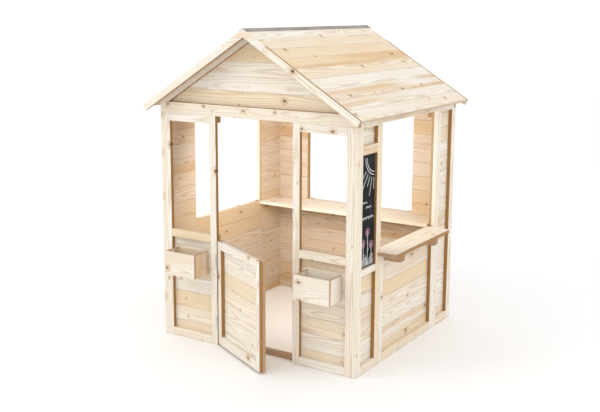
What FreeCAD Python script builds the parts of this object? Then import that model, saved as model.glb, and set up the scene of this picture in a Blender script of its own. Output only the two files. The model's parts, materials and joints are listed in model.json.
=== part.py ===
import FreeCAD, Part
import Sketcher
import math
import os

# A child's timber playhouse.  Eight framed panels stand round the sides and corners, each a
# ladder of square battens with thin planks nailed behind it.  Header beams tie their tops,
# two gable frames carry a plank roof, and a half-height door hangs in the front doorway.
#
# The house is drawn with X across the front, Y from the front to the back and Z up, from
# the middle of the front wall's face at floor level.  Every finished piece is then shifted
# so that the origin lies under the middle of the whole object's box.

doc = FreeCAD.newDocument("Playhouse")
sheet = doc.addObject("Spreadsheet::Sheet", "Sizes")

ZERO_TOLERANCE = 1e-9


class Size:
    """A length that knows its value and the sheet formula that it comes from."""

    def __init__(self, value, formula):
        self.value = value
        self.formula = formula

    @staticmethod
    def of(thing):
        """Turns a plain number into a Size and leaves a Size as it is."""
        return thing if isinstance(thing, Size) else Size(float(thing), f"{float(thing):g}")

    def join(self, sign, other, value):
        """Makes the Size of two joined by a sign."""
        return Size(value, f"({self.formula} {sign} {other.formula})")

    def __add__(self, other):
        other = Size.of(other)
        if abs(other.value) < ZERO_TOLERANCE and other.formula == "0":
            return self
        return self.join("+", other, self.value + other.value)

    def __sub__(self, other):
        other = Size.of(other)
        if abs(other.value) < ZERO_TOLERANCE and other.formula == "0":
            return self
        return self.join("-", other, self.value - other.value)

    def __mul__(self, other):
        other = Size.of(other)
        return self.join("*", other, self.value * other.value)

    def __truediv__(self, other):
        other = Size.of(other)
        return self.join("/", other, self.value / other.value)

    def __neg__(self):
        return Size(-self.value, f"(0 - {self.formula})")

    def __radd__(self, other):
        return Size.of(other) + self

    def __rsub__(self, other):
        return Size.of(other) - self

    def __rmul__(self, other):
        return Size.of(other) * self


def sine(angle):
    """Sine of an angle in degrees."""
    return Size(math.sin(math.radians(angle.value)), f"sin({angle.formula})")


def cosine(angle):
    """Cosine of an angle in degrees."""
    return Size(math.cos(math.radians(angle.value)), f"cos({angle.formula})")


def tangent(angle):
    """Tangent of an angle in degrees."""
    return Size(math.tan(math.radians(angle.value)), f"tan({angle.formula})")


def driving(alias, value):
    """Writes one driving dimension into the sheet and returns it as a Size."""
    driving.row += 1
    cell = f"B{driving.row}"
    sheet.set(f"A{driving.row}", alias)
    sheet.set(cell, str(value))
    sheet.setAlias(cell, alias)
    return Size(float(value), f"Sizes.{alias}")


driving.row = 0

# ---------------------------------------------------------------- driving dimensions, mm
# The house
house_width = driving("house_width", 1040)
house_depth = driving("house_depth", 970)
front_panel_height = driving("front_panel_height", 1062)
header_height = driving("header_height", 50.4)
roof_pitch = driving("roof_pitch", 31.7)
door_opening = driving("door_opening", 410)
side_panel_width = driving("side_panel_width", 208)
sill_height = driving("sill_height", 518)

# Timber sections
batten_thick = driving("batten_thick", 18)
plank_thick = driving("plank_thick", 12)
wall_plank_width = driving("wall_plank_width", 70)
gable_plank_width = driving("gable_plank_width", 65)
roof_plank_width = driving("roof_plank_width", 74)
front_stile = driving("front_stile", 35)
side_stile = driving("side_stile", 42)
middle_stile = driving("middle_stile", 30)
top_rail = driving("top_rail", 36)
bottom_rail = driving("bottom_rail", 38)
side_top_rail = driving("side_top_rail", 56)

# Roof
eave_overhang = driving("eave_overhang", 46)
front_overhang = driving("front_overhang", 70)
back_overhang = driving("back_overhang", 42)
barge_depth = driving("barge_depth", 30)
barge_thick = driving("barge_thick", 12)
apex_leg = driving("apex_leg", 130)
rafter_depth = driving("rafter_depth", 24)
roof_batten_width = driving("roof_batten_width", 30)
roof_batten_gap = driving("roof_batten_gap", 2)
cap_flange = driving("cap_flange", 22)
cap_thick = driving("cap_thick", 2)

# Blackboard bay in the right front panel
board_drop = driving("board_drop", 118)
board_height = driving("board_height", 483)
board_rail_low = driving("board_rail_low", 28)
board_rail_high = driving("board_rail_high", 38)
board_thick = driving("board_thick", 7)

# Counter and inner shelf
counter_top = driving("counter_top", 510)
counter_thick = driving("counter_thick", 18)
counter_reach = driving("counter_reach", 88)
counter_front_lap = driving("counter_front_lap", 25)
counter_back_gap = driving("counter_back_gap", 26)
bracket_width = driving("bracket_width", 30)
bracket_height = driving("bracket_height", 32)
bracket_setback = driving("bracket_setback", 3)
bracket_front_inset = driving("bracket_front_inset", 60)
bracket_back_inset = driving("bracket_back_inset", 120)
bracket_chamfer = driving("bracket_chamfer", 8)
shelf_depth = driving("shelf_depth", 200)
shelf_thick = driving("shelf_thick", 16)
cleat_section = driving("cleat_section", 20)

# Flower boxes
planter_width = driving("planter_width", 176)
planter_reach = driving("planter_reach", 88)
planter_height = driving("planter_height", 110)
planter_drop = driving("planter_drop", 48)
planter_board = driving("planter_board", 12)

# Door and its hinges
door_gap = driving("door_gap", 4)
door_low = driving("door_low", 8)
door_high = driving("door_high", 496)
door_stile = driving("door_stile", 32)
door_top_rail = driving("door_top_rail", 36)
door_bottom_rail = driving("door_bottom_rail", 42)
door_stop_gap = driving("door_stop_gap", 0.5)
door_ajar = driving("door_ajar", 27)
threshold_height = driving("threshold_height", 26)
threshold_overlap = driving("threshold_overlap", 30)
hinge_height = driving("hinge_height", 60)
hinge_inset = driving("hinge_inset", 70)
hinge_leaf_thick = driving("hinge_leaf_thick", 1.5)
hinge_leaf_width = driving("hinge_leaf_width", 15)
hinge_leaf_setback = driving("hinge_leaf_setback", 1)
hinge_barrel_radius = driving("hinge_barrel_radius", 3.5)
hinge_pin_radius = driving("hinge_pin_radius", 1.6)
hinge_pin_clearance = driving("hinge_pin_clearance", 0.05)
hinge_pin_head = driving("hinge_pin_head", 1.5)
hinge_axis_proud = driving("hinge_axis_proud", 5)
knuckle_gap = driving("knuckle_gap", 0.3)

# Joint blocks and fixings
block_length = driving("block_length", 44)
block_depth = driving("block_depth", 22)
block_height = driving("block_height", 32)
screw_head_radius = driving("screw_head_radius", 4)
screw_head_thick = driving("screw_head_thick", 1.2)
screw_inset = driving("screw_inset", 20)

doc.recompute()

# ------------------------------------------------------------------- derived dimensions
zero = Size.of(0)
half_width = house_width / 2
cladding_thick = batten_thick + plank_thick
inner_half = half_width - batten_thick
room_half = half_width - cladding_thick
half_door = door_opening / 2
wall_top = front_panel_height + header_height
underside_ridge = wall_top + half_width * tangent(roof_pitch)
ridge_plane = underside_ridge + plank_thick / cosine(roof_pitch)
slope_length = (half_width + eave_overhang) / cosine(roof_pitch)
back_stile_start = house_depth - side_panel_width
board_high = front_panel_height - board_drop
board_low = board_high - board_height
counter_start = side_panel_width - counter_front_lap
counter_end = back_stile_start - counter_back_gap
planter_high = sill_height - top_rail - planter_drop
planter_low = planter_high - planter_height

hinge_x = door_gap / 2 - half_door
hinge_y = -hinge_axis_proud
door_width = door_opening - door_gap * 2
door_tip = hinge_y - (door_width + door_gap / 2) * sine(door_ajar) + hinge_axis_proud * cosine(door_ajar)

shift_x = (eave_overhang - counter_reach) / 2
shift_y = -(house_depth + back_overhang + door_tip) / 2


# ------------------------------------------------------------------------ small helpers
def bind(thing, path, size):
    """Ties one property of an object to the sheet."""
    thing.setExpression(path, Size.of(size).formula)


def put(thing, at):
    """Ties an object's position to the sheet."""
    for axis, size in zip("xyz", at):
        bind(thing, f"Placement.Base.{axis}", size)


def piece_name(stem):
    """Gives each feature a name of its own."""
    piece_name.count += 1
    return f"{stem}_{piece_name.count}"


piece_name.count = 0


def board(low, high):
    """A square board between two corners."""
    box = doc.addObject("Part::Box", piece_name("board"))
    for side, start, end in zip(("Length", "Width", "Height"), low, high):
        bind(box, side, Size.of(end) - start)
    put(box, low)
    return box


def rod(radius, start, height, axis=(0, 0, 1), angle=0):
    """A round rod, turned from the Z axis by an angle about the given axis."""
    cylinder = doc.addObject("Part::Cylinder", piece_name("rod"))
    bind(cylinder, "Radius", radius)
    bind(cylinder, "Height", height)
    cylinder.Placement.Rotation = FreeCAD.Rotation(FreeCAD.Vector(*axis), angle)
    put(cylinder, start)
    return cylinder


def boolean(kind, base, tool):
    """Joins two shapes with a Part::Cut, Part::Common or Part::Fuse."""
    result = doc.addObject(f"Part::{kind}", piece_name(kind.lower()))
    result.Base = base
    result.Tool = tool
    return result


def fuse(parts):
    """Joins several shapes into one solid."""
    result = doc.addObject("Part::MultiFuse", piece_name("joined"))
    result.Shapes = parts
    result.Refine = True
    return result


def origin_plane(body, role):
    """Finds one of a body's own origin planes."""
    return next(item for item in body.Origin.OriginFeatures if item.Role == role)


def outline_point(sketch, line, point, origin_distance):
    """Holds a corner of an outline at its two distances from the sketch's origin."""
    for kind, axis, size, value in (("DistanceX", -2, point[0], origin_distance[0]),
                                    ("DistanceY", -1, point[1], origin_distance[1])):
        if abs(value) < ZERO_TOLERANCE:
            sketch.addConstraint(Sketcher.Constraint("PointOnObject", line, 1, axis))
        else:
            index = sketch.addConstraint(Sketcher.Constraint(kind, -1, 1, line, 1, value))
            sketch.setExpression(f"Constraints[{index}]", Size.of(size).formula)


def plate(corners, thickness, at, plane="XZ_Plane"):
    """A flat piece with a straight-sided outline, as a PartDesign body.

    The corners are measured from the piece's own low corner, so none is negative.  On the XZ
    plane the piece grows towards +Y, on the XY plane towards +Z.
    """
    body = doc.addObject("PartDesign::Body", piece_name("plate"))
    sketch = body.newObject("Sketcher::SketchObject", piece_name("outline"))
    sketch.AttachmentSupport = (origin_plane(body, plane), [""])
    sketch.MapMode = "FlatFace"
    values = [(Size.of(x).value, Size.of(y).value) for x, y in corners]
    for index, start in enumerate(values):
        end = values[(index + 1) % len(values)]
        sketch.addGeometry(Part.LineSegment(FreeCAD.Vector(*start, 0), FreeCAD.Vector(*end, 0)), False)
    for index in range(len(values)):
        following = (index + 1) % len(values)
        sketch.addConstraint(Sketcher.Constraint("Coincident", index, 2, following, 1))
    for index, corner in enumerate(corners):
        outline_point(sketch, index, corner, values[index])
    pad = body.newObject("PartDesign::Pad", piece_name("pad"))
    pad.Profile = sketch
    bind(pad, "Length", thickness)
    pad.Reversed = plane == "XZ_Plane"
    body.Tip = pad
    put(body, at)
    return body


def finish_piece(label, parts, turned=False):
    """Gathers the solids of one sub-part under its own label and shifts them to the origin.

    A turned sub-part belongs to the door: it is drawn shut and swung open about the hinge.
    """
    group = doc.addObject("Part::Compound", label)
    group.Label = label
    group.Links = parts
    if turned:
        swing_sine = sine(door_ajar)
        swing_cosine = cosine(door_ajar)
        group.Placement.Rotation = FreeCAD.Rotation(FreeCAD.Vector(0, 0, -1), door_ajar.value)
        group.setExpression("Placement.Rotation.Angle", door_ajar.formula)
        put(group, (hinge_x - hinge_x * swing_cosine - hinge_y * swing_sine + shift_x,
                    hinge_y + hinge_x * swing_sine - hinge_y * swing_cosine + shift_y,
                    zero))
    else:
        put(group, (shift_x, shift_y, zero))
    finished.append(group)
    return group


finished = []


# ------------------------------------------------------------------------- wall panels
def spaced(low, high, nominal):
    """Cuts a span into equal strips of about the nominal width, as pairs of ends."""
    span = Size.of(high) - low
    count = max(1, round(span.value / nominal.value))
    return [(low + span * index / count, low + span * (index + 1) / count) for index in range(count)]


def across(wall_sign, face, depth_low, depth_high):
    """The Y or X range of a layer of a wall, counted inwards from the wall's outer face."""
    if wall_sign > 0:
        return face - depth_high, face - depth_low
    return face + depth_low, face + depth_high


def wall_board(wall, along, upright, depth):
    """A board of one wall, placed by its ranges along, up and into that wall."""
    sign = 1 if wall in ("right", "back") else -1
    faces = {"front": zero, "back": house_depth, "left": -half_width, "right": half_width}
    layer = across(sign, faces[wall], *depth)
    if wall in ("front", "back"):
        return board((along[0], layer[0], upright[0]), (along[1], layer[1], upright[1]))
    return board((layer[0], along[0], upright[0]), (layer[1], along[1], upright[1]))


batten_layer = (zero, batten_thick)
plank_layer = (batten_thick, cladding_thick)


def ladder_frame(wall, along, height, stiles, rails):
    """Two stiles with rails between them; the rails are given by their ranges in Z."""
    start, end = along
    first, last = stiles
    parts = [wall_board(wall, (start, start + first), (zero, height), batten_layer),
             wall_board(wall, (end - last, end), (zero, height), batten_layer)]
    for rail in rails:
        parts.append(wall_board(wall, (start + first, end - last), rail, batten_layer))
    return parts


def planking(wall, along, low, high):
    """Horizontal planks nailed behind a frame."""
    return [wall_board(wall, along, strip, plank_layer) for strip in spaced(low, high, wall_plank_width)]


def front_panels():
    """The window panels on both sides of the doorway: open above the sill, planked below."""
    for name, side in (("left", -1), ("right", 1)):
        ends = ((-inner_half, -half_door) if side < 0 else (half_door, inner_half))
        planks = ((-room_half, -half_door) if side < 0 else (half_door, room_half))
        rails = [(zero, bottom_rail), (sill_height - top_rail, sill_height),
                 (front_panel_height - top_rail, front_panel_height)]
        finish_piece(f"front_{name}_frame",
                     ladder_frame("front", ends, front_panel_height, (front_stile, front_stile), rails))
        finish_piece(f"front_{name}_planks", planking("front", planks, zero, sill_height))


def back_panels():
    """The two planked corner panels of the back wall and the low panel between them."""
    window_half = half_width - side_panel_width
    rails = [(zero, bottom_rail), (front_panel_height - top_rail, front_panel_height)]
    for name, side in (("left", -1), ("right", 1)):
        ends = ((-inner_half, -window_half) if side < 0 else (window_half, inner_half))
        planks = ((-room_half, -window_half) if side < 0 else (window_half, room_half))
        finish_piece(f"back_{name}_frame",
                     ladder_frame("back", ends, front_panel_height, (front_stile, front_stile), rails))
        finish_piece(f"back_{name}_planks", planking("back", planks, zero, front_panel_height))
    middle = (-window_half, window_half)
    rails = [(zero, bottom_rail), (sill_height - top_rail, sill_height)]
    finish_piece("back_middle_frame",
                 ladder_frame("back", middle, sill_height, (middle_stile, middle_stile), rails))
    finish_piece("back_middle_planks", planking("back", middle, zero, sill_height))


def header_rebate(side, start, end):
    """The notch in a corner stile's top that the front or back header beam lies in."""
    low_x = -half_width if side < 0 else inner_half
    return board((low_x, start, front_panel_height), (low_x + batten_thick, end, wall_top))


def side_corner_panel(name, side, place):
    """A narrow planked corner panel of a side wall; the right front one holds the blackboard."""
    wall = "left" if side < 0 else "right"
    at_front = place == "front"
    along = (zero, side_panel_width) if at_front else (back_stile_start, house_depth)
    planks = (batten_thick, side_panel_width) if at_front else (back_stile_start, house_depth - batten_thick)
    rails = [(zero, bottom_rail), (wall_top - side_top_rail, wall_top)]
    if side > 0 and at_front:
        rails.append((board_low - board_rail_low, board_low))
        rails.append((board_high, board_high + board_rail_high))
    parts = ladder_frame(wall, along, wall_top, (side_stile, side_stile), rails)
    corner = 0 if at_front else 1
    notch = (zero, batten_thick) if at_front else (house_depth - batten_thick, house_depth)
    parts[corner] = boolean("Cut", parts[corner], header_rebate(side, *notch))
    finish_piece(f"{name}_frame", parts)
    finish_piece(f"{name}_planks", planking(wall, planks, zero, wall_top))


def side_middle_panel(name, side, height):
    """The low panel between two corner panels, with an open window or hatch above it."""
    wall = "left" if side < 0 else "right"
    along = (side_panel_width, back_stile_start)
    rails = [(zero, bottom_rail), (height - top_rail, height)]
    finish_piece(f"{name}_frame", ladder_frame(wall, along, height, (middle_stile, middle_stile), rails))
    finish_piece(f"{name}_planks", planking(wall, along, zero, height))


def side_walls():
    """Both side walls: two corner panels and a low middle panel each."""
    for name, side in (("left", -1), ("right", 1)):
        side_corner_panel(f"{name}_front", side, "front")
        side_corner_panel(f"{name}_back", side, "back")
    side_middle_panel("left_middle", -1, sill_height)
    side_middle_panel("right_middle", 1, counter_top - counter_thick)


def header_beams():
    """The beams that tie the panels' tops together on all four walls."""
    upright = (front_panel_height, wall_top)
    for wall in ("front", "back"):
        finish_piece(f"{wall}_header",
                     [wall_board(wall, (-half_width, half_width), upright, batten_layer)])
    middle = (side_panel_width, back_stile_start)
    for wall in ("left", "right"):
        finish_piece(f"{wall}_header", [wall_board(wall, middle, upright, batten_layer)])


def joint_blocks():
    """Short blocks behind the joints where a header meets the posts of an opening."""
    window_half = half_width - side_panel_width
    low = front_panel_height - block_height
    upright = (low, front_panel_height)
    behind = (batten_thick, batten_thick + block_depth)
    parts = []
    for side in (-1, 1):
        outer = side * half_door + side * block_length
        ends = (outer, side * half_door) if side < 0 else (half_door, outer)
        parts.append(wall_board("front", ends, upright, behind))
    inside = (cladding_thick, cladding_thick + block_depth)
    for side in (-1, 1):
        outer = side * window_half + side * block_length
        ends = (outer, side * window_half) if side < 0 else (window_half, outer)
        parts.append(wall_board("back", ends, upright, inside))
    for wall in ("left", "right"):
        parts.append(wall_board(wall, (side_panel_width - block_length, side_panel_width), upright, inside))
        parts.append(wall_board(wall, (back_stile_start, back_stile_start + block_length), upright, inside))
    finish_piece("joint_blocks", parts)


# ------------------------------------------------------------------------------ gables
def gable_prism(y_low, y_high):
    """The triangular space under the roof planks, from the panels' top to the ridge."""
    height = underside_ridge - front_panel_height
    half_base = height / tangent(roof_pitch)
    corners = [(zero, zero), (half_base * 2, zero), (half_base, height)]
    return plate(corners, y_high - y_low, (-half_base, y_low, front_panel_height))


def rafter(side, y_low):
    """One sloping member of a gable frame, cut level on the header and plumb at the ridge."""
    drop = rafter_depth / cosine(roof_pitch)
    height = underside_ridge - wall_top
    inset = rafter_depth / sine(roof_pitch)
    if side > 0:
        corners = [(half_width - inset, zero), (half_width, zero), (zero, height), (zero, height - drop)]
        return plate(corners, batten_thick, (zero, y_low, wall_top))
    corners = [(zero, zero), (inset, zero), (half_width, height - drop), (half_width, height)]
    return plate(corners, batten_thick, (-half_width, y_low, wall_top))


def gable(name, rafter_y, plank_y):
    """A gable frame's two rafters and the planks nailed on its inner side."""
    finish_piece(f"{name}_gable_rafters", [rafter(-1, rafter_y), rafter(1, rafter_y)])
    peak = underside_ridge
    strips = [(front_panel_height, wall_top)] + spaced(wall_top, peak, gable_plank_width)
    parts = []
    for low, high in strips:
        plank = board((-room_half, plank_y, low), (room_half, plank_y + plank_thick, high))
        parts.append(boolean("Common", plank, gable_prism(plank_y, plank_y + plank_thick)))
    finish_piece(f"{name}_gable_planks", parts)


# -------------------------------------------------------------------------------- roof
def slope_board(side, down, out, along):
    """A board lying in a roof slope.

    down is its range from the ridge towards the eave, out its range along the slope's outward
    normal from the planks' top, and along its range from the front to the back.
    """
    box = doc.addObject("Part::Box", piece_name("roof_board"))
    bind(box, "Length", down[1] - down[0])
    bind(box, "Width", along[1] - along[0])
    bind(box, "Height", out[1] - out[0])
    run = down[0] if side > 0 else -down[1]
    box.Placement.Rotation = FreeCAD.Rotation(FreeCAD.Vector(0, side, 0), roof_pitch.value)
    box.setExpression("Placement.Rotation.Angle", roof_pitch.formula)
    lean = Size.of(side)
    put(box, (run * cosine(roof_pitch) + lean * out[0] * sine(roof_pitch),
              along[0],
              ridge_plane - lean * run * sine(roof_pitch) + out[0] * cosine(roof_pitch)))
    return box


roof_front = -front_overhang
roof_back = house_depth + back_overhang


def ridge_relief(depth):
    """How far a board starts below the ridge so that its lower edge stays on its own side."""
    return depth * tangent(roof_pitch)


def roof_slopes():
    """The planks of both slopes, running from the front to the back, and their battens."""
    planks_along = (roof_front + barge_thick, roof_back - barge_thick)
    layer = (-plank_thick, zero)
    batten_layer_out = (-(plank_thick + rafter_depth), -plank_thick)
    foot = (room_half - roof_batten_gap + plank_thick * sine(roof_pitch)) / cosine(roof_pitch)
    head = ridge_relief(plank_thick + rafter_depth)
    middle = (house_depth - roof_batten_width) / 2
    starts = (cladding_thick, middle, house_depth - cladding_thick - roof_batten_width)
    for name, side in (("left", -1), ("right", 1)):
        strips = spaced(ridge_relief(plank_thick), slope_length, roof_plank_width)
        finish_piece(f"roof_{name}_planks",
                     [slope_board(side, strip, layer, planks_along) for strip in strips])
        finish_piece(f"roof_{name}_battens",
                     [slope_board(side, (head, foot), batten_layer_out, (start, start + roof_batten_width))
                      for start in starts])


def barge_boards(name, y_low):
    """Fascia boards over the planks' ends, with a chevron piece at the apex."""
    along = (y_low, y_low + barge_thick)
    layer = (-barge_depth, zero)
    parts = [slope_board(side, (apex_leg, slope_length), layer, along) for side in (-1, 1)]
    finish_piece(f"{name}_barge_boards", parts)
    leg_run = apex_leg * cosine(roof_pitch)
    leg_fall = apex_leg * sine(roof_pitch)
    step_run = barge_depth * sine(roof_pitch)
    step_fall = barge_depth * cosine(roof_pitch)
    plumb = barge_depth / cosine(roof_pitch)
    rise = leg_fall + step_fall
    corners = [(step_run, zero),
               (leg_run, rise - plumb),
               (leg_run * 2 - step_run, zero),
               (leg_run * 2, step_fall),
               (leg_run, rise),
               (zero, step_fall)]
    finish_piece(f"{name}_apex_piece", [plate(corners, barge_thick, (-leg_run, y_low, ridge_plane - rise))])


def ridge_cap():
    """The folded strip that covers the joint between the two slopes."""
    run = cap_flange * cosine(roof_pitch)
    fall = cap_flange * sine(roof_pitch)
    over_run = cap_thick * sine(roof_pitch)
    over_rise = cap_thick * cosine(roof_pitch)
    plumb = cap_thick / cosine(roof_pitch)
    edge = run + over_run
    corners = [(zero, over_rise),
               (over_run, zero),
               (edge, fall),
               (edge * 2 - over_run, zero),
               (edge * 2, over_rise),
               (edge, fall + plumb)]
    finish_piece("ridge_cap",
                 [plate(corners, roof_back - roof_front, (-edge, roof_front, ridge_plane - fall))])


# ------------------------------------------------------- blackboard, counter and shelf
def blackboard():
    """The writing board in its bay, in front of the planks."""
    depth = (batten_thick - board_thick, batten_thick)
    along = (side_stile, side_panel_width - side_stile)
    finish_piece("blackboard", [wall_board("right", along, (board_low, board_high), depth)])


def counter():
    """The serving counter on top of the low right panel, and its two brackets."""
    low = counter_top - counter_thick
    slab = board((room_half, counter_start, low), (half_width + counter_reach, counter_end, counter_top))
    clear_low = board((room_half, counter_start, low), (half_width, side_panel_width, counter_top))
    slab = boolean("Cut", slab, clear_low)
    finish_piece("counter_board", [slab])
    length = counter_reach - bracket_setback
    corners = [(zero, zero), (length - bracket_chamfer, zero), (length, bracket_chamfer),
               (length, bracket_height), (zero, bracket_height)]
    parts = []
    for y_low in (counter_start + bracket_front_inset, counter_end - bracket_back_inset - bracket_width):
        parts.append(plate(corners, bracket_width, (half_width, y_low, low - bracket_height)))
    finish_piece("counter_brackets", parts)


def inner_shelf():
    """The deep shelf across the back of the room, on cleats under its ends and back."""
    back = house_depth - cladding_thick
    low = sill_height - shelf_thick
    front = back - shelf_depth
    finish_piece("inner_shelf", [board((-room_half, front, low), (room_half, back, sill_height))])
    cleat_low = low - cleat_section
    cleats = [board((-room_half, back - cleat_section, cleat_low), (room_half, back, low))]
    for side in (-1, 1):
        start = -room_half if side < 0 else room_half - cleat_section
        cleats.append(board((start, front + cleat_section, cleat_low),
                            (start + cleat_section, back - cleat_section, low)))
    finish_piece("shelf_cleats", cleats)


# ------------------------------------------------------------------------ flower boxes
def planter(name, side):
    """A flower box of five boards, standing against the planks in the panel's lower bay."""
    middle = side * (inner_half + half_door) / 2
    left = middle - planter_width / 2
    right = middle + planter_width / 2
    high = planter_high
    back = batten_thick
    front = -planter_reach
    parts = [board((left, front, planter_low), (right, front + planter_board, high)),
             board((left, front + planter_board, planter_low), (left + planter_board, back, high)),
             board((right - planter_board, front + planter_board, planter_low), (right, back, high)),
             board((left + planter_board, back - planter_board, planter_low),
                   (right - planter_board, back, high)),
             board((left + planter_board, front + planter_board, planter_low),
                   (right - planter_board, back - planter_board, planter_low + planter_board))]
    finish_piece(f"{name}_planter", parts)


# -------------------------------------------------------------------------------- door
door_left = door_gap - half_door
door_right = half_door - door_gap


def door():
    """The framed half door, drawn shut, with planks nailed behind its frame."""
    inner_left = door_left + door_stile
    inner_right = door_right - door_stile
    parts = [board((door_left, zero, door_low), (inner_left, batten_thick, door_high)),
             board((inner_right, zero, door_low), (door_right, batten_thick, door_high)),
             board((inner_left, zero, door_low), (inner_right, batten_thick, door_low + door_bottom_rail)),
             board((inner_left, zero, door_high - door_top_rail), (inner_right, batten_thick, door_high))]
    finish_piece("door_frame", parts, turned=True)
    back = cladding_thick - door_stop_gap
    planks = [board((door_left, batten_thick, low), (door_right, back, high))
              for low, high in spaced(door_low, door_high, wall_plank_width)]
    finish_piece("door_planks", planks, turned=True)


def hinge_levels():
    """The low end of each hinge."""
    return (door_low + hinge_inset, door_high - hinge_inset - hinge_height)


def knuckle(low, high):
    """One barrel knuckle, bored for the pin."""
    outer = rod(hinge_barrel_radius, (hinge_x, hinge_y, low), high - low)
    bore = rod(hinge_pin_radius + hinge_pin_clearance, (hinge_x, hinge_y, low), high - low)
    return outer, bore


def hinge_leaf(inner, outer, level, spans):
    """A hinge leaf let into the gap between post and door, with knuckles on the pin's line."""
    plate_back = hinge_leaf_setback + hinge_leaf_width
    solids = [board((inner, hinge_leaf_setback, level), (outer, plate_back, level + hinge_height))]
    bores = []
    for low, high in spans:
        solids.append(board((inner, hinge_y, low), (outer, hinge_leaf_setback, high)))
        barrel, bore = knuckle(low, high)
        solids.append(barrel)
        bores.append(bore)
    leaf = fuse(solids)
    for bore in bores:
        leaf = boolean("Cut", leaf, bore)
    return leaf


def hinges():
    """Two butt hinges: a leaf on the post, a leaf on the door and a pin through both."""
    post_leaves, door_leaves, pins = [], [], []
    third = hinge_height / 3
    for level in hinge_levels():
        outer_spans = [(level, level + third - knuckle_gap),
                       (level + third * 2 + knuckle_gap, level + hinge_height)]
        middle_span = [(level + third, level + third * 2)]
        post_leaves.append(hinge_leaf(-half_door, -half_door + hinge_leaf_thick, level, outer_spans))
        door_leaves.append(hinge_leaf(door_left - hinge_leaf_thick, door_left, level, middle_span))
        shaft = rod(hinge_pin_radius, (hinge_x, hinge_y, level - hinge_pin_head),
                    hinge_height + hinge_pin_head * 2)
        heads = [rod(hinge_barrel_radius, (hinge_x, hinge_y, level - hinge_pin_head), hinge_pin_head),
                 rod(hinge_barrel_radius, (hinge_x, hinge_y, level + hinge_height), hinge_pin_head)]
        pins.append(fuse([shaft] + heads))
    finish_piece("hinge_post_leaves", post_leaves)
    finish_piece("hinge_door_leaves", door_leaves, turned=True)
    finish_piece("hinge_pins", pins)


def threshold():
    """The low bar on the floor behind the doorway, which ties the panels and stops the door."""
    start = -(half_door + threshold_overlap)
    finish_piece("threshold_bar", [board((start, cladding_thick, zero),
                                         (-start, cladding_thick + batten_thick, threshold_height))])


# ----------------------------------------------------------------------------- fixings
def screw_heads(spots, axis, angle):
    """Screw heads lying on a face, one solid each."""
    return [rod(screw_head_radius, spot, screw_head_thick, axis, angle) for spot in spots]


def corner_screws():
    """Screws through the side panels' corner stiles into the front and back frames."""
    levels = (bottom_rail / 2, sill_height - top_rail / 2, front_panel_height - top_rail / 2)
    spots = {-1: [], 1: []}
    for side in (-1, 1):
        for level in levels:
            for y in (batten_thick / 2, house_depth - batten_thick / 2):
                spots[side].append((half_width * side, y, level))
    parts = screw_heads(spots[1], (0, 1, 0), 90) + screw_heads(spots[-1], (0, 1, 0), -90)
    finish_piece("corner_screws", parts)


def header_screws():
    """Screws through the front and back headers into the ends of the gable frames."""
    level = front_panel_height + header_height / 2
    spread = (inner_half - screw_inset, half_door + front_stile / 2)
    front, back = [], []
    for x in spread:
        for side in (-1, 1):
            front.append((x * side, zero, level))
            back.append((x * side, house_depth, level))
    parts = screw_heads(front, (1, 0, 0), 90) + screw_heads(back, (1, 0, 0), -90)
    finish_piece("header_screws", parts)


front_panels()
back_panels()
side_walls()
header_beams()
joint_blocks()
gable("front", zero, batten_thick)
gable("back", house_depth - batten_thick, house_depth - cladding_thick)
roof_slopes()
barge_boards("front", roof_front)
barge_boards("back", roof_back - barge_thick)
ridge_cap()
blackboard()
counter()
inner_shelf()
planter("left", -1)
planter("right", 1)
door()
hinges()
threshold()
corner_screws()
header_screws()

doc.recompute()

# ------------------------------------------------------------------- checks and output
failed = [thing.Name for thing in doc.Objects if {"Invalid", "Error"} & set(thing.State)]
if failed:
    raise RuntimeError(f"features that did not build: {failed}")

os.makedirs("parts", exist_ok=True)
for piece in finished:
    if piece.Shape.isNull() or not piece.Shape.isValid():
        raise RuntimeError(f"{piece.Label} has no valid shape")
    piece.Shape.exportStep(f"parts/{piece.Label}.step")
print(f"{len(finished)} sub-parts written")
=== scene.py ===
"""A child's timber playhouse: bare pine boards and battens dressed around its solid model."""

import json
import logging
import math
import random
from dataclasses import dataclass, field
from enum import Enum

import bmesh
import bpy
from mathutils import Matrix, Vector

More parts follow.
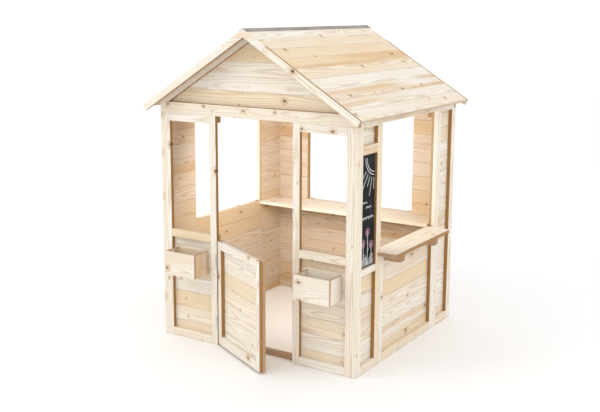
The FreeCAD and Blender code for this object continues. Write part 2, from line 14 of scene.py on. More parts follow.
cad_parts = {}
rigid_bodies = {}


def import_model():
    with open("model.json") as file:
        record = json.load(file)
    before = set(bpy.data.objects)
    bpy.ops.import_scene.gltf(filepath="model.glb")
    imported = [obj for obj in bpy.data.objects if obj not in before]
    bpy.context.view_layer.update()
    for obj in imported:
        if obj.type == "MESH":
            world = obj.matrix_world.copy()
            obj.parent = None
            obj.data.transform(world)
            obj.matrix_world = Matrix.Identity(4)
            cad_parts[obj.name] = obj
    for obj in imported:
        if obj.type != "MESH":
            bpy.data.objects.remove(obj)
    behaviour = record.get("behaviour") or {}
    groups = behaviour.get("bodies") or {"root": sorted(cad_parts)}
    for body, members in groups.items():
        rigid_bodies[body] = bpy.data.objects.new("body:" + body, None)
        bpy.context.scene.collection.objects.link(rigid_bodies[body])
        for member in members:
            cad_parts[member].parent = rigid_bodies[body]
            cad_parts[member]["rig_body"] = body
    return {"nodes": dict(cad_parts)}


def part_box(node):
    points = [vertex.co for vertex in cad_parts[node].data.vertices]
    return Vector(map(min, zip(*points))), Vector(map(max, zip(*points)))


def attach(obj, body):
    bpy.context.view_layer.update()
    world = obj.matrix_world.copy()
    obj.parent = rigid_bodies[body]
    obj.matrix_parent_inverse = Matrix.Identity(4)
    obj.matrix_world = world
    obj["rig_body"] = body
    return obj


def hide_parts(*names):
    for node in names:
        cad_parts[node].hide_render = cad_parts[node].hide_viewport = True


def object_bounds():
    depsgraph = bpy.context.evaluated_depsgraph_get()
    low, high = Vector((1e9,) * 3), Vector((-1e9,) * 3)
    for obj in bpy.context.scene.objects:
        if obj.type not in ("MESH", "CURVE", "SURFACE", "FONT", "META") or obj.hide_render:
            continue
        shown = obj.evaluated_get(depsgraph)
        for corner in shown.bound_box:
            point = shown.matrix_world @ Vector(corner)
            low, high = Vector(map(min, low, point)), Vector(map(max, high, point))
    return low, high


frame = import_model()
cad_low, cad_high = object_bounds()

log = logging.getLogger("playhouse")

Triple = tuple[float, float, float]
Span = tuple[float, float]
Point = tuple[float, float]
Line = list[Point]
Socket = bpy.types.NodeSocket

MM = 0.001
MERGE_DISTANCE = 0.002 * MM
FLAT_ANGLE = math.radians(0.5)
SHARP_ANGLE = math.radians(25)
CAD_MIDDLE = (cad_low + cad_high) / 2

# Attributes that a board carries for the pine finish, one of them its share of painted shade, and one that
# turns a screw head.
GRAIN = "grain"
BOARD = "board"
END_GRAIN = "end_grain"
# A face's share of painted shade: dark wood laid where a face stands in shadow.
PAINTED_SHADE = "painted_shade"
FACING = "facing"

# How far a face's normal leans along a direction before the face counts as facing that way.
LENGTH_LEAN = 0.5
END_LEAN = 0.8
SIDE_LEAN = 0.6
TOP_LEAN = 0.5
WALL_LEAN = 0.9


# --------------------------------------------------------------------------- node wiring
class Wiring:
    """Adds nodes to a tree and links them, for shader and geometry trees alike."""

    column_width = 190
    row_height = 160
    rows = 5

    def __init__(self, tree: bpy.types.NodeTree) -> None:
        """Keeps the tree, whose nodes are laid out from left to right.

        Args:
            tree: The node tree to fill.
        """
        self.tree = tree
        self.column = 0

    def node(self, kind: str, settings: dict | None = None, **inputs: object) -> bpy.types.Node:
        """Adds one node.

        Args:
            kind: The node's type name.
            settings: Properties of the node itself.
            **inputs: Values or source sockets for its inputs, with spaces written as underscores.

        Returns:
            The new node.
        """
        made = self.tree.nodes.new(kind)
        self.column += 1
        made.location = (self.column * self.column_width, -(self.column % self.rows) * self.row_height)
        for name, value in (settings or {}).items():
            setattr(made, name, value)
        for name, value in inputs.items():
            self.feed(self.socket(made.inputs, name.replace("_", " ")), value)
        return made

    @staticmethod
    def socket(sockets: bpy.types.bpy_prop_collection, name: str) -> Socket:
        """Finds the socket of that name which is in use."""
        return next(s for s in sockets if s.name == name and s.enabled)

    def feed(self, target: Socket, value: object) -> None:
        """Links a socket to an input, or sets the input's own value.

        Args:
            target: The input socket.
            value: An output socket, or a plain value.
        """
        if isinstance(value, Socket):
            self.tree.links.new(value, target)
        else:
            target.default_value = value

    def vector(self, x: object = 0.0, y: object = 0.0, z: object = 0.0) -> Socket:
        """Joins three values or sockets into a vector."""
        return self.node("ShaderNodeCombineXYZ", X=x, Y=y, Z=z).outputs[0]

    def split(self, vector: Socket) -> bpy.types.bpy_prop_collection:
        """Splits a vector into its three numbers."""
        return self.node("ShaderNodeSeparateXYZ", Vector=vector).outputs

    def math(self, operation: str, first: object, second: object = 0.0, third: object = 0.0,
             clamp: bool = False) -> Socket:
        """Adds a Math node.

        Args:
            operation: The node's operation.
            first: Its first value or socket.
            second: Its second value or socket.
            third: Its third value or socket.
            clamp: Whether the result is held between 0 and 1.

        Returns:
            The result's socket.
        """
        made = self.node("ShaderNodeMath", {"operation": operation, "use_clamp": clamp})
        for target, value in zip(made.inputs, (first, second, third)):
            self.feed(target, value)
        return made.outputs[0]

    def vector_math(self, operation: str, first: object, second: object = (0.0, 0.0, 0.0)) -> Socket:
        """Adds a Vector Math node.

        Args:
            operation: The node's operation.
            first: Its first vector or socket.
            second: Its second vector or socket.

        Returns:
            The result's socket, which is a number for a length.
        """
        made = self.node("ShaderNodeVectorMath", {"operation": operation})
        self.feed(made.inputs[0], first)
        self.feed(made.inputs[1], second)
        return self.socket(made.outputs, "Value" if operation == "LENGTH" else "Vector")

    def span(self, share: Socket, low: float, high: float) -> Socket:
        """Turns a share into a value that runs evenly between two others."""
        return self.math("MULTIPLY_ADD", share, high - low, low)

    def between(self, value: Socket, low: object, high: object, start: float = 0.0,
                end: float = 1.0) -> Socket:
        """Maps a range smoothly onto another.

        Args:
            value: The socket to map.
            low: Where the result is start.
            high: Where the result is end.
            start: The result at low.
            end: The result at high.

        Returns:
            The result's socket.
        """
        made = self.node("ShaderNodeMapRange", {"interpolation_type": "SMOOTHSTEP"},
                         Value=value, From_Min=low, From_Max=high, To_Min=start, To_Max=end)
        return made.outputs["Result"]


class Surface(Wiring):
    """The wiring of a new material around its Principled shader."""

    def __init__(self, name: str) -> None:
        """Starts the material with only the shader and its output.

        Args:
            name: The material's name.
        """
        self.material = bpy.data.materials.new(name)
        self.material.use_nodes = True
        self.material.node_tree.nodes.clear()
        super().__init__(self.material.node_tree)
        self.shader = self.node("ShaderNodeBsdfPrincipled")
        self.node("ShaderNodeOutputMaterial", Surface=self.shader.outputs["BSDF"])

    def coat(self, **inputs: object) -> None:
        """Sets or links inputs of the shader, with spaces written as underscores."""
        for name, value in inputs.items():
            self.feed(self.shader.inputs[name.replace("_", " ")], value)

    def bump(self, height: Socket, strength: float, depth: float) -> None:
        """Roughens the surface by a height."""
        made = self.node("ShaderNodeBump", Strength=strength, Distance=depth, Height=height)
        self.coat(Normal=made.outputs["Normal"])

    def attribute(self, name: str, output: str = "Fac") -> Socket:
        """Reads an attribute that the mesh carries."""
        return self.node("ShaderNodeAttribute", {"attribute_name": name}).outputs[output]

    def place(self) -> Socket:
        """Gives the place on the object."""
        return self.node("ShaderNodeTexCoord").outputs["Object"]

    def blend(self, share: object, first: object, second: object, mode: str = "MIX") -> Socket:
        """Blends two colours.

        Args:
            share: How much of the second shows.
            first: The first colour or socket.
            second: The second colour or socket.
            mode: The blend mode.

        Returns:
            The colour's socket.
        """
        made = self.node("ShaderNodeMix", {"data_type": "RGBA", "blend_type": mode})
        self.feed(self.socket(made.inputs, "Factor"), share)
        for name, colour in (("A", first), ("B", second)):
            value = (*colour, 1.0) if isinstance(colour, tuple) else colour
            self.feed(self.socket(made.inputs, name), value)
        return self.socket(made.outputs, "Result")

    def stain(self, where: Socket, strength: float, wood: Socket, colour: Triple) -> Socket:
        """Lays a colour over the wood, as strongly as it says where the share is whole."""
        return self.blend(self.math("MULTIPLY", where, strength), wood, colour)

    def noise(self, place: Socket, scale: Triple, detail: float = 2.0, roughness: float = 0.5) -> Socket:
        """Adds noise that may be drawn out along one axis.

        Args:
            place: The vector socket that it reads.
            scale: How many waves to the metre it has along each axis.
            detail: The number of finer layers.
            roughness: How strong the finer layers are.

        Returns:
            The noise's socket, from 0 to 1.
        """
        made = self.node("ShaderNodeTexNoise", {"noise_dimensions": "3D"}, Scale=1.0, Detail=detail,
                         Vector=self.vector_math("MULTIPLY", place, scale), Roughness=roughness)
        return made.outputs["Fac"]


# ------------------------------------------------------------------------------ finishes
@dataclass(frozen=True)
class PineFinish:
    """Bare planed pine with growth rings, fibres, warm streaks and small dark knots, and painted shade on
    faces that stand in shadow.

    A scale is in waves to the metre along the board, across it and through it. A strength is the
    share of a colour that shows where its mark is whole. The relief is the bump's strength and depth.
    """

    name: str = "pine"
    pale: Triple = (0.84, 0.805, 0.735)
    warm: Triple = (0.79, 0.61, 0.37)
    late_wood: Triple = (0.62, 0.43, 0.23)
    streak: Triple = (0.64, 0.37, 0.13)
    halo: Triple = (0.50, 0.27, 0.10)
    knot: Triple = (0.055, 0.026, 0.012)
    end_wood: Triple = (0.36, 0.19, 0.060)
    # The dark colour of painted shade, laid on faces in shadow, and further down the share of it that shows.
    painted_shade: Triple = (0.34, 0.165, 0.040)
    late_strength: float = 0.38
    streak_strength: float = 0.66
    halo_strength: float = 0.50
    knot_strength: float = 0.95
    end_strength: float = 0.80
    painted_shade_strength: float = 0.97
    board_spread: float = 977.0
    board_shift: Triple = (31.0, 17.0, 11.0)
    pith_aside: Span = (-45.0 * MM, 45.0 * MM)
    pith_below: Span = (15.0 * MM, 75.0 * MM)
    ring_pitch: float = 4.6 * MM
    ring_sharpness: float = 2.6
    slow_scale: Triple = (2.2, 5.0, 5.0)
    slow_bend: float = 30.0 * MM
    quick_scale: Triple = (5.0, 40.0, 40.0)
    quick_bend: float = 3.2 * MM
    knot_bend: float = 4.5 * MM
    knot_scale: Triple = (4.6, 13.0, 0.0)
    knot_scatter: float = 0.85
    knot_share: float = 0.50
    knot_radius: float = 2.7 * MM
    knot_sizes: Span = (0.75, 3.05)
    knot_core: float = 0.55
    knot_length: float = 0.72
    knot_wobble: Triple = (160.0, 160.0, 40.0)
    halo_reach: float = 3.6
    fibre_scale: Triple = (9.0, 420.0, 420.0)
    cloud_scale: Triple = (1.6, 9.0, 9.0)
    cloud_tone: Span = (-0.32, 0.48)
    warm_rarity: float = 2.6
    warm_strength: float = 0.85
    streak_scale: Triple = (1.1, 18.0, 18.0)
    streak_edge: Span = (0.40, 0.60)
    streaked_boards: Span = (0.66, 0.92)
    ring_shade: Span = (0.88, 0.78)
    fibre_shade: float = 0.30
    roughness: Span = (0.54, 0.70)
    knot_polish: float = 0.15
    ring_relief: float = 0.35
    knot_relief: float = -0.8
    relief: Span = (0.28, 0.5 * MM)

    def per_board(self, surface: Surface) -> tuple[Socket, ...]:
        """Draws three random numbers for each board.

        Args:
            surface: The material's wiring.

        Returns:
            The whole random vector, and its three numbers.
        """
        spread = surface.math("MULTIPLY", surface.attribute(BOARD), self.board_spread)
        dice = surface.node("ShaderNodeTexWhiteNoise", {"noise_dimensions": "1D"}, W=spread).outputs["Color"]
        return (dice, *surface.split(dice))

    def knots(self, surface: Surface, place: Socket) -> tuple[Socket, Socket]:
        """Scatters knots, one in some of the cells of a stretched cell pattern.

        Args:
            surface: The material's wiring.
            place: The board's own coordinates, shifted for each board.

        Returns:
            Where the knots are, and the darkened wood round them.
        """
        flat = surface.vector_math("MULTIPLY", place, self.knot_scale)
        cell = surface.node("ShaderNodeTexVoronoi", {"voronoi_dimensions": "2D", "feature": "F1"},
                            Vector=flat, Scale=1.0, Randomness=self.knot_scatter)
        away = surface.vector_math("SUBTRACT", flat, cell.outputs["Position"])
        to_metres = (self.knot_length / self.knot_scale[0], 1.0 / self.knot_scale[1], 0.0)
        away = surface.vector_math("LENGTH", surface.vector_math("MULTIPLY", away, to_metres))
        wobble = surface.math("ADD", surface.noise(place, self.knot_wobble, detail=1.0), 0.5)
        distance = surface.math("MULTIPLY", away, wobble)
        dice = surface.node("ShaderNodeSeparateColor", Color=cell.outputs["Color"])
        here = surface.math("LESS_THAN", dice.outputs["Red"], self.knot_share)
        size = surface.span(surface.math("POWER", dice.outputs["Green"], 2.0),
                            *(self.knot_radius * size for size in self.knot_sizes))
        core = surface.between(distance, surface.math("MULTIPLY", size, self.knot_core), size, 1.0, 0.0)
        halo = surface.between(distance, size, surface.math("MULTIPLY", size, self.halo_reach), 1.0, 0.0)
        return surface.math("MULTIPLY", core, here), surface.math("MULTIPLY", halo, here)

    def rings(self, surface: Surface, place: Socket, dice: tuple[Socket, ...], halo: Socket) -> Socket:
        """Cuts the board out of a log: the rings are circles about a pith outside the board.

        Args:
            surface: The material's wiring.
            place: The board's own coordinates, shifted for each board.
            dice: The board's random vector and numbers.
            halo: The wood round the knots, which the rings flow round.

        Returns:
            How much late wood shows.
        """
        grain = surface.split(surface.attribute(GRAIN, "Vector"))
        aside = surface.math("ADD", grain["Y"], surface.span(dice[1], *self.pith_aside))
        below = surface.math("ADD", grain["Z"], surface.span(dice[2], *self.pith_below))
        radius = surface.vector_math("LENGTH", surface.vector(aside, below))
        for bend, wave in ((self.slow_bend, surface.noise(place, self.slow_scale, detail=1.0)),
                           (self.quick_bend, surface.noise(place, self.quick_scale)),
                           (self.knot_bend, halo)):
            radius = surface.math("MULTIPLY_ADD", wave, bend, radius)
        wave = surface.math("SINE", surface.math("MULTIPLY", radius, 2 * math.pi / self.ring_pitch))
        return surface.math("POWER", surface.math("MULTIPLY_ADD", wave, 0.5, 0.5), self.ring_sharpness)

    def clear_wood(self, surface: Surface, place: Socket, dice: tuple[Socket, ...], ring: Socket) -> Socket:
        """Colours the wood between the knots, and lays painted shade on faces that stand in shadow.

        Args:
            surface: The material's wiring.
            place: The board's own coordinates, shifted for each board.
            dice: The board's random vector and numbers.
            ring: How much late wood shows.

        Returns:
            The colour's socket.
        """
        cloud = surface.span(surface.noise(place, self.cloud_scale), *self.cloud_tone)
        rare = surface.math("POWER", dice[1], self.warm_rarity)
        tone = surface.math("MULTIPLY_ADD", rare, self.warm_strength, cloud, clamp=True)
        colour = surface.blend(tone, self.pale, self.warm)
        colour = surface.stain(ring, self.late_strength, colour, self.late_wood)
        band = surface.between(surface.noise(place, self.streak_scale), *self.streak_edge)
        band = surface.math("MULTIPLY", band, surface.between(dice[3], *self.streaked_boards))
        colour = surface.stain(band, self.streak_strength, colour, self.streak)
        colour = surface.stain(surface.attribute(END_GRAIN), self.end_strength, colour, self.end_wood)
        # Painted shade: darkens the faces that are marked as standing in shadow.
        return surface.stain(surface.attribute(PAINTED_SHADE), self.painted_shade_strength, colour, self.painted_shade)

    def material(self) -> bpy.types.Material:
        """Builds the material.

        Returns:
            The finished material.
        """
        surface = Surface(self.name)
        dice = self.per_board(surface)
        shift = surface.vector_math("MULTIPLY", dice[0], self.board_shift)
        place = surface.vector_math("ADD", surface.attribute(GRAIN, "Vector"), shift)
        knot, halo = self.knots(surface, place)
        ring = self.rings(surface, place, dice, halo)
        fibre = surface.noise(place, self.fibre_scale, detail=3.0, roughness=0.6)
        shade = surface.math("MULTIPLY_ADD", fibre, self.fibre_shade, surface.span(ring, *self.ring_shade))
        colour = self.clear_wood(surface, place, dice, ring)
        colour = surface.blend(1.0, colour, surface.vector(shade, shade, shade), "MULTIPLY")
        colour = surface.stain(halo, self.halo_strength, colour, self.halo)
        colour = surface.stain(knot, self.knot_strength, colour, self.knot)
        rough = surface.math("MULTIPLY_ADD", knot, -self.knot_polish, surface.span(fibre, *self.roughness))
        surface.coat(Base_Color=colour, Roughness=rough)
        height = surface.math("MULTIPLY_ADD", knot, self.knot_relief, fibre)
        surface.bump(surface.math("MULTIPLY_ADD", ring, self.ring_relief, height), *self.relief)
        return surface.material


@dataclass(frozen=True)
class ChalkboardFinish:
    """Matt black board paint, clouded by wiped-off chalk, with its bump's strength and depth."""

    name: str = "board_paint"
    paint: Triple = (0.008, 0.008, 0.010)
    dust: Triple = (0.030, 0.030, 0.034)
    smear_scale: Triple = (30.0, 26.0, 7.0)
    smear_edge: Span = (0.42, 0.78)
    speck_scale: Triple = (900.0, 900.0, 900.0)
    roughness: Span = (0.73, 0.87)
    shine: float = 0.25
    relief: Span = (0.25, 0.2 * MM)

    def material(self) -> bpy.types.Material:
        """Builds the material.

        Returns:
            The finished material.
        """
        surface = Surface(self.name)
        place = surface.place()
        smear = surface.noise(place, self.smear_scale, detail=3.0, roughness=0.6)
        speck = surface.noise(place, self.speck_scale)
        dusty = surface.between(smear, *self.smear_edge)
        surface.coat(Base_Color=surface.blend(dusty, self.paint, self.dust),
                     Roughness=surface.span(speck, *self.roughness), Specular_IOR_Level=self.shine)
        surface.bump(speck, *self.relief)
        return surface.material


@dataclass(frozen=True)
class ChalkFinish:
    """A dry chalk stroke that skips over the board's tooth."""

    name: str
    chalk: Triple
    skipped: Triple = (0.06, 0.06, 0.065)
    tooth_scale: Triple = (800.0, 620.0, 620.0)
    patch_scale: Triple = (60.0, 60.0, 60.0)
    cover_edge: Span = (0.45, 0.70)
    roughness: Span = (0.88, 0.96)
    relief: Span = (0.4, 0.2 * MM)

    def material(self) -> bpy.types.Material:
        """Builds the material.

        Returns:
            The finished material.
        """
        surface = Surface(self.name)
        place = surface.place()
        tooth = surface.noise(place, self.tooth_scale, roughness=0.7)
        patch = surface.noise(place, self.patch_scale, detail=1.0)
        cover = surface.between(surface.math("MULTIPLY_ADD", patch, 0.5, tooth), *self.cover_edge)
        surface.coat(Base_Color=surface.blend(cover, self.skipped, self.chalk),
                     Roughness=surface.span(tooth, *self.roughness))
        surface.bump(tooth, *self.relief)
        return surface.material


@dataclass(frozen=True)
class MetalFinish:
    """A plain sheet or plating with fine scratches and a slightly cloudy surface."""

    name: str
    base: Triple
    worn: Triple
    metallic: float
    roughness: Span
    scratch_scale: Triple = (40.0, 900.0, 900.0)
    cloud_scale: Triple = (22.0, 9.0, 22.0)
    worn_edge: Span = (0.35, 0.75)
    scratch_roughness: float = 0.08
    relief: Span = (0.15, 0.1 * MM)

    def material(self) -> bpy.types.Material:
        """Builds the material.

        Returns:
            The finished material.
        """
        surface = Surface(self.name)
        place = surface.place()
        cloud = surface.noise(place, self.cloud_scale, detail=3.0, roughness=0.6)
        scratch = surface.noise(place, self.scratch_scale)
        rough = surface.math("MULTIPLY_ADD", scratch, self.scratch_roughness,
                             surface.span(cloud, *self.roughness))
        surface.coat(Base_Color=surface.blend(surface.between(cloud, *self.worn_edge), self.base, self.worn),
                     Roughness=rough, Metallic=self.metallic)
        surface.bump(scratch, *self.relief)
        return surface.material


@dataclass(frozen=True)
class FloorFinish:
    """A plain pale studio floor."""

    name: str = "studio_floor"
    base: Triple = (0.94, 0.94, 0.94)
    roughness: float = 0.9
    shine: float = 0.1

    def material(self) -> bpy.types.Material:
        """Builds the material.

        Returns:
            The finished material.
        """
        surface = Surface(self.name)
        surface.coat(Base_Color=(*self.base, 1.0), Roughness=self.roughness, Specular_IOR_Level=self.shine)
        return surface.material


class Finish(Enum):
    """The finishes that the playhouse uses."""

    PINE = PineFinish()
    BOARD = ChalkboardFinish()
    WHITE_CHALK = ChalkFinish("white_chalk", (0.75, 0.75, 0.74))
    PINK_CHALK = ChalkFinish("pink_chalk", (0.62, 0.30, 0.46))
    ZINC = MetalFinish("zinc_plate", base=(0.62, 0.63, 0.65), worn=(0.48, 0.48, 0.49), metallic=0.95,
                       roughness=(0.30, 0.50))
    RIDGE = MetalFinish("ridge_strip", base=(0.33, 0.28, 0.25), worn=(0.22, 0.19, 0.175), metallic=0.0,
                        roughness=(0.43, 0.63), scratch_scale=(700.0, 12.0, 700.0))
    FLOOR = FloorFinish()

    def material(self) -> bpy.types.Material:
        """Gives the finish's material, made once and shared."""
        return bpy.data.materials.get(self.value.name) or self.value.material()


# ------------------------------------------------------------------- solids of the model
@dataclass
class Solid:
    """One closed solid of a node, as a merged mesh."""

    corners: list[Vector]
    faces: list[tuple[int, ...]]

    @staticmethod
    def of_node(node: str) -> list["Solid"]:
        """Splits a node's triangles into its closed solids.

        The triangles of one solid follow each other, so a solid is complete as soon as every
        edge seen since it began has been met once from each side.

        Args:
            node: The node's name.

        Returns:
            Its solids, in their order in the node.
        """
        mesh = frame["nodes"][node].data
        solids, open_edges, numbers, corners, faces = [], set(), {}, [], []
        for polygon in mesh.polygons:
            face = []
            for index in polygon.vertices:
                place = mesh.vertices[index].co
                key = tuple(round(value / MERGE_DISTANCE) for value in place)
                if key not in numbers:
                    numbers[key] = len(corners)
                    corners.append(place.copy())
                face.append(numbers[key])
            faces.append(tuple(face))
            for start, end in zip(face, face[1:] + face[:1]):
                if (end, start) in open_edges:
                    open_edges.remove((end, start))
                else:
                    open_edges.add((start, end))
            if not open_edges:
                solids.append(Solid(corners, faces))
                numbers, corners, faces = {}, [], []
        return solids

    def mesh(self) -> bmesh.types.BMesh:
        """Makes an editable mesh of the solid, with its flat faces whole.

        Returns:
            The mesh, which the caller frees.
        """
        made = bmesh.new()
        points = [made.verts.new(corner) for corner in self.corners]
        for face in self.faces:
            if len(set(face)) == len(face):
                made.faces.new([points[index] for index in face])
        made.normal_update()
        bmesh.ops.dissolve_limit(made, angle_limit=FLAT_ANGLE, verts=made.verts, edges=made.edges)
        return made

    def axes(self, along: Vector | None = None) -> Matrix:
        """Finds the board's own directions: its length, its width and its thickness.

        Args:
            along: The direction of the length, where it isn't that of the longest edge.

        Returns:
            The three directions, as the rows of a matrix.
        """
        made = self.mesh()
        if along is None:
            longest = max(made.edges, key=lambda edge: edge.calc_length())
            along = longest.verts[1].co - longest.verts[0].co
            along = along if max(along, key=abs) > 0 else -along
        sides = [face for face in made.faces if abs(face.normal.dot(along.normalized())) < LENGTH_LEAN]
        thick = max(sides, key=lambda face: face.calc_area()).normal.copy()
        made.free()
        length = along.normalized()
        thick = (thick - length * thick.dot(length)).normalized()
        thick = thick if max(thick, key=abs) > 0 else -thick
        return Matrix((length, thick.cross(length), thick))

    def reach(self, axes: Matrix) -> tuple[Vector, Vector]:
        """Measures the solid along three directions.

        Args:
            axes: The directions, as the rows of a matrix.

        Returns:
            The lowest and highest values along each.
        """
        turned = [axes @ corner for corner in self.corners]
        low = Vector(min(point[i] for point in turned) for i in range(3))
        high = Vector(max(point[i] for point in turned) for i in range(3))
        return low, high

    def centre(self) -> Vector:
        """Gives the middle of the solid's own corners."""
        return sum(self.corners, Vector()) / len(self.corners)


def body_of_node(node: str) -> str:
    """Gives the name of the body that a node belongs to."""
    return frame["nodes"][node]["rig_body"]


def add_object(name: str, mesh: bpy.types.Mesh) -> bpy.types.Object:
    """Links a mesh into the scene as an object at the origin.

    Args:
        name: The object's name.
        mesh: Its mesh.

    Returns:
        The object.
    """
    made = bpy.data.objects.new(name, mesh)
    bpy.context.scene.collection.objects.link(made)
    return made


def stand_for(piece: bpy.types.Object, *nodes: str) -> bpy.types.Object:
    """Puts a finished piece in place of its nodes, on their body.

    Args:
        piece: The piece.
        *nodes: The nodes that it stands for.

    Returns:
        The piece.
    """
    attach(piece, body_of_node(nodes[0]))
    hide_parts(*nodes)
    log.info("%s stands for %s, with %d faces", piece.name, ", ".join(nodes), len(piece.data.polygons))
    return piece


# ---------------------------------------------------------------------- boards one by one
@dataclass
class Joinery:
    """The boards of one node, each with its arrises eased and its own stretch of grain.

    The boards' sides take one share of painted shade, and their other faces another. The
    batch and the node's name together pick the wood that they are cut from.
    """

    node: str
    finish: Finish = Finish.PINE
    arris: float = 1.3 * MM
    arris_steps: int = 2
    arris_shape: float = 0.6
    along: Vector | None = None
    # The share of painted shade on the boards' sides, whether their tops are left lit without it, and the
    # share on their other faces.
    side_shade: float = 1.0
    lit_top: bool = True
    face_shade: float = 0.0
    batch: str = "timber"
    lumber: random.Random = field(init=False)

    def __post_init__(self) -> None:
        """Gives the node a fixed seed of its own."""
        self.lumber = random.Random(f"{self.batch} of {self.node}")

    def ease(self, made: bmesh.types.BMesh) -> None:
        """Rounds the sharp edges of one solid.

        Args:
            made: The solid's mesh.
        """
        sharp = [edge for edge in made.edges
                 if len(edge.link_faces) == 2 and edge.calc_face_angle(0.0) > SHARP_ANGLE]
        if sharp and self.arris > 0:
            bmesh.ops.bevel(made, geom=sharp, offset=self.arris, offset_type="OFFSET",
                            segments=self.arris_steps, profile=self.arris_shape,
                            affect="EDGES", clamp_overlap=True)

    def mark(self, made: bmesh.types.BMesh, solid: Solid) -> None:
        """Writes the board's own coordinates and its random number into its mesh.

        Args:
            made: The solid's mesh.
            solid: The solid that it was made from.
        """
        axes = solid.axes(self.along)
        low, high = solid.reach(axes)
        middle = (low + high) / 2
        grain = made.verts.layers.float_vector.new(GRAIN)
        board = made.verts.layers.float.new(BOARD)
        ends = made.faces.layers.float.new(END_GRAIN)
        # A face layer for the share of painted shade.
        edges = made.faces.layers.float.new(PAINTED_SHADE)
        number = self.lumber.random()
        for vertex in made.verts:
            vertex[grain] = axes @ vertex.co - middle
            vertex[board] = number
        for face in made.faces:
            face[ends] = 1.0 if abs(face.normal.dot(axes[0])) > END_LEAN else 0.0
            face[edges] = self.painted_shade_share(face, axes)

    def painted_shade_share(self, face: bmesh.types.BMFace, axes: Matrix) -> float:
        """Says how much painted shade a face takes: a board's sides take the full share, unless they face up
        and the top is left lit, or lie flush on a wall panel's front or rear face.

        Args:
            face: The face.
            axes: The board's own directions.

        Returns:
            A share from 0 to 1.
        """
        # Painted shade: faces that aren't the board's sides, and lit tops, take the lesser share.
        if abs(face.normal.dot(axes[1])) < SIDE_LEAN or (self.lit_top and face.normal.z > TOP_LEAN):
            return self.face_shade
        low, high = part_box(self.node)
        depth = face.calc_center_median().y
        # Sides flush with a wall panel's front or rear face are lit, so they take the lesser share as well.
        on_corner = abs(face.normal.y) > WALL_LEAN and min(depth - low.y, high.y - depth) < self.arris
        return self.face_shade if on_corner else self.side_shade

    def build(self, name: str | None = None) -> bpy.types.Object:
        """Builds the piece and puts it in the node's place.

        Args:
            name: The piece's name, where it isn't made from the node's.

        Returns:
            The piece.
        """
        mesh = bpy.data.meshes.new(name or f"{self.node}_timber")
        whole = bmesh.new()
        for solid in Solid.of_node(self.node):
            made = solid.mesh()
            self.ease(made)
            made.normal_update()
            self.mark(made, solid)
            part = bpy.data.meshes.new("part")
            made.to_mesh(part)
            made.free()
            whole.from_mesh(part)
            bpy.data.meshes.remove(part)
        whole.to_mesh(mesh)
        whole.free()
        mesh.materials.append(self.finish.material())
        return stand_for(add_object(mesh.name, mesh), self.node)


# ------------------------------------------------------------------------ rows of planks
class GeometryTree(Wiring):
    """A geometry node tree with named inputs, which ends in real and dressed geometry."""

    def __init__(self, name: str, **inputs: str) -> None:
        """Starts the tree with its inputs and its output.

        Args:
            name: The tree's name.
            **inputs: The socket type of each input, a starting geometry first. Names have
                underscores for spaces.
        """
        super().__init__(bpy.data.node_groups.new(name, "GeometryNodeTree"))
        self.identifiers: dict[str, str] = {}
        for label, kind in inputs.items():
            made = self.tree.interface.new_socket(name=label.replace("_", " "), in_out="INPUT",
                                                  socket_type=f"NodeSocket{kind}")
            self.identifiers[label] = made.identifier
        self.tree.interface.new_socket(name="Geometry", in_out="OUTPUT", socket_type="NodeSocketGeometry")
        self.given = self.node("NodeGroupInput").outputs

    def dice(self, low: float, high: float, seed: Socket) -> Socket:
        """Draws one number for each instance or point."""
        made = self.node("FunctionNodeRandomValue", {"data_type": "FLOAT"}, Min=low, Max=high, Seed=seed)
        return self.socket(made.outputs, "Value")

    def store(self, geometry: Socket, name: str, value: Socket, domain: str, kind: str = "FLOAT") -> Socket:
        """Keeps a value on the geometry under a name."""
        return self.node("GeometryNodeStoreNamedAttribute", {"data_type": kind, "domain": domain},
                         Geometry=geometry, Name=name, Value=value).outputs["Geometry"]

    def flat_shaded(self, geometry: Socket) -> Socket:
        """Shades every face flat."""
        flat = self.node("GeometryNodeSetShadeSmooth", Geometry=geometry, Shade_Smooth=False)
        return flat.outputs["Geometry"]

    def close(self, geometry: Socket, material: Socket) -> None:
        """Makes the last geometry real, dresses it and sends it out.

        Args:
            geometry: The last geometry.
            material: The input that gives its material.
        """
        real = self.node("GeometryNodeRealizeInstances", Geometry=geometry)
        dressed = self.node("GeometryNodeSetMaterial", Geometry=real.outputs["Geometry"], Material=material)
        self.node("NodeGroupOutput", Geometry=dressed.outputs["Geometry"])

    def grow(self, mesh: bpy.types.Mesh, **values: object) -> bpy.types.Object:
        """Runs the tree on an object and keeps the result as a plain mesh.

        Args:
            mesh: The mesh that the tree starts from, whose name the object takes.
            **values: A value for each input, with spaces written as underscores.

        Returns:
            The object, with no modifier left on it.
        """
        name = mesh.name
        made = add_object(name, mesh)
        modifier = made.modifiers.new(name, "NODES")
        modifier.node_group = self.tree
        for label, value in values.items():
            modifier[self.identifiers[label]] = value
        made.update_tag()
        ready = made.evaluated_get(bpy.context.evaluated_depsgraph_get())
        result = bpy.data.meshes.new_from_object(ready)
        made.modifiers.remove(modifier)
        made.data = result
        result.name = name
        return made


